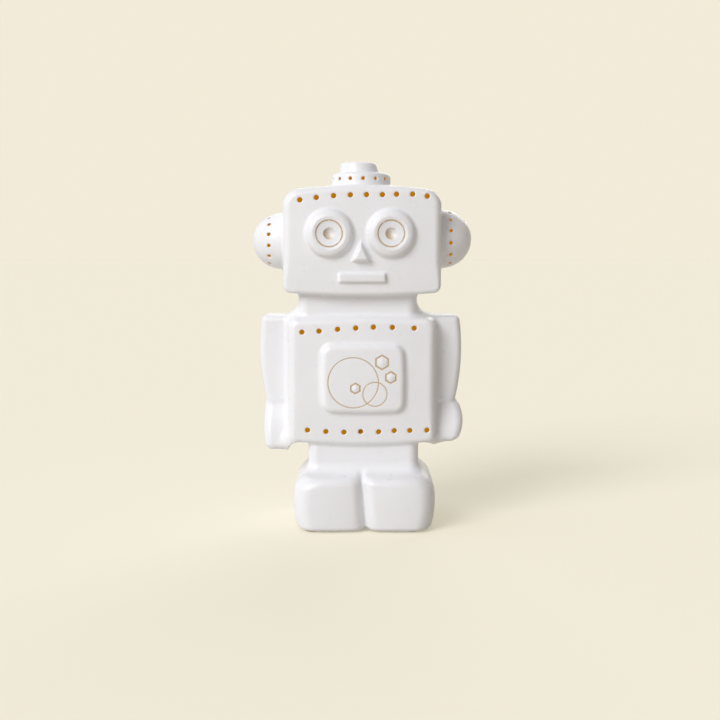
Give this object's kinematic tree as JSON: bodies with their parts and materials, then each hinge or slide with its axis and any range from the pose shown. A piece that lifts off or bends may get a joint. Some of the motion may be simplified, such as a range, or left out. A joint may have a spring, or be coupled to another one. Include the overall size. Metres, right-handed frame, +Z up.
{
  "type": "desk lamp",
  "caption": "Robot-shaped white porcelain night lamp with pierced light holes; the hollow figure lifts off a spring-held light unit with a screw-in bulb.",
  "frame": {"origin": "on the table, under the middle of the figure's bounding box", "axes": "+Z up, the figure faces -Y, +X to the viewer's right when seen from the front"},
  "size_m": [0.1706, 0.096, 0.28],
  "materials": {
    "porcelain": "white, thin satin glaze, lit warm from inside through its pierced holes",
    "pad_rubber": "translucent white, matt",
    "plate_enamel": "white stoved enamel on steel",
    "spring_steel": "rolled spring steel",
    "zinc_steel": "bright zinc plate",
    "bush_plastic": "moulded nylon",
    "holder_plastic": "moulded, glossy",
    "insert_ceramic": "unglazed steatite",
    "terminal_brass": "pressed brass",
    "solder": "dull solder",
    "black_glass": "black cast glass",
    "nickel_cap": "nickel plated, drawn",
    "bulb_glass": "thin clear glass",
    "stem_glass": "clear lead glass",
    "lead_wire": "drawn wire",
    "filament": "glowing tungsten coil"
  },
  "bodies": {
    "light_unit": {"mounting_plate": "plate_enamel", "retaining_springs": "spring_steel", "spring_rivets": "zinc_steel", "threaded_nipple": "zinc_steel", "lock_washer": "zinc_steel", "nipple_nut": "zinc_steel", "nipple_bush": "bush_plastic", "holder_cap": "holder_plastic", "grub_screw": "zinc_steel", "holder_skirt": "holder_plastic", "holder_insert": "insert_ceramic", "terminal_clamps": "terminal_brass", "terminal_screws": "zinc_steel", "screw_shell": "terminal_brass", "centre_contact": "terminal_brass"},
    "porcelain_shell": {"head_front": "porcelain", "head_back": "porcelain", "head_crown": "porcelain", "head_chin": "porcelain", "torso_front": "porcelain", "torso_back": "porcelain", "torso_shoulders": "porcelain", "torso_waist": "porcelain", "feet_casting": "porcelain", "neck_ring": "porcelain", "hip_ring": "porcelain", "beacon_casting": "porcelain", "ear_casting_left": "porcelain", "ear_casting_right": "porcelain", "arm_casting_left": "porcelain", "arm_casting_right": "porcelain", "foot_pad_front_left": "pad_rubber", "foot_pad_front_right": "pad_rubber", "foot_pad_back_left": "pad_rubber", "foot_pad_back_right": "pad_rubber"},
    "bulb": {"bulb_contact": "solder", "bulb_insulator": "black_glass", "bulb_cap": "nickel_cap", "bulb_glass": "bulb_glass", "bulb_stem": "stem_glass", "bulb_lead_wires": "lead_wire", "bulb_supports": "lead_wire", "bulb_filament": "filament"}
  },
  "joints": [
    {"name": "shell_lift", "type": "slide", "parent": "light_unit", "child": "porcelain_shell", "axis": [0, 0, 1], "range_m": [0, 0.105]},
    {"name": "bulb_removal", "type": "slide", "parent": "light_unit", "child": "bulb", "axis": [0, 0, 1], "range_m": [0, 0.022]}
  ]
}
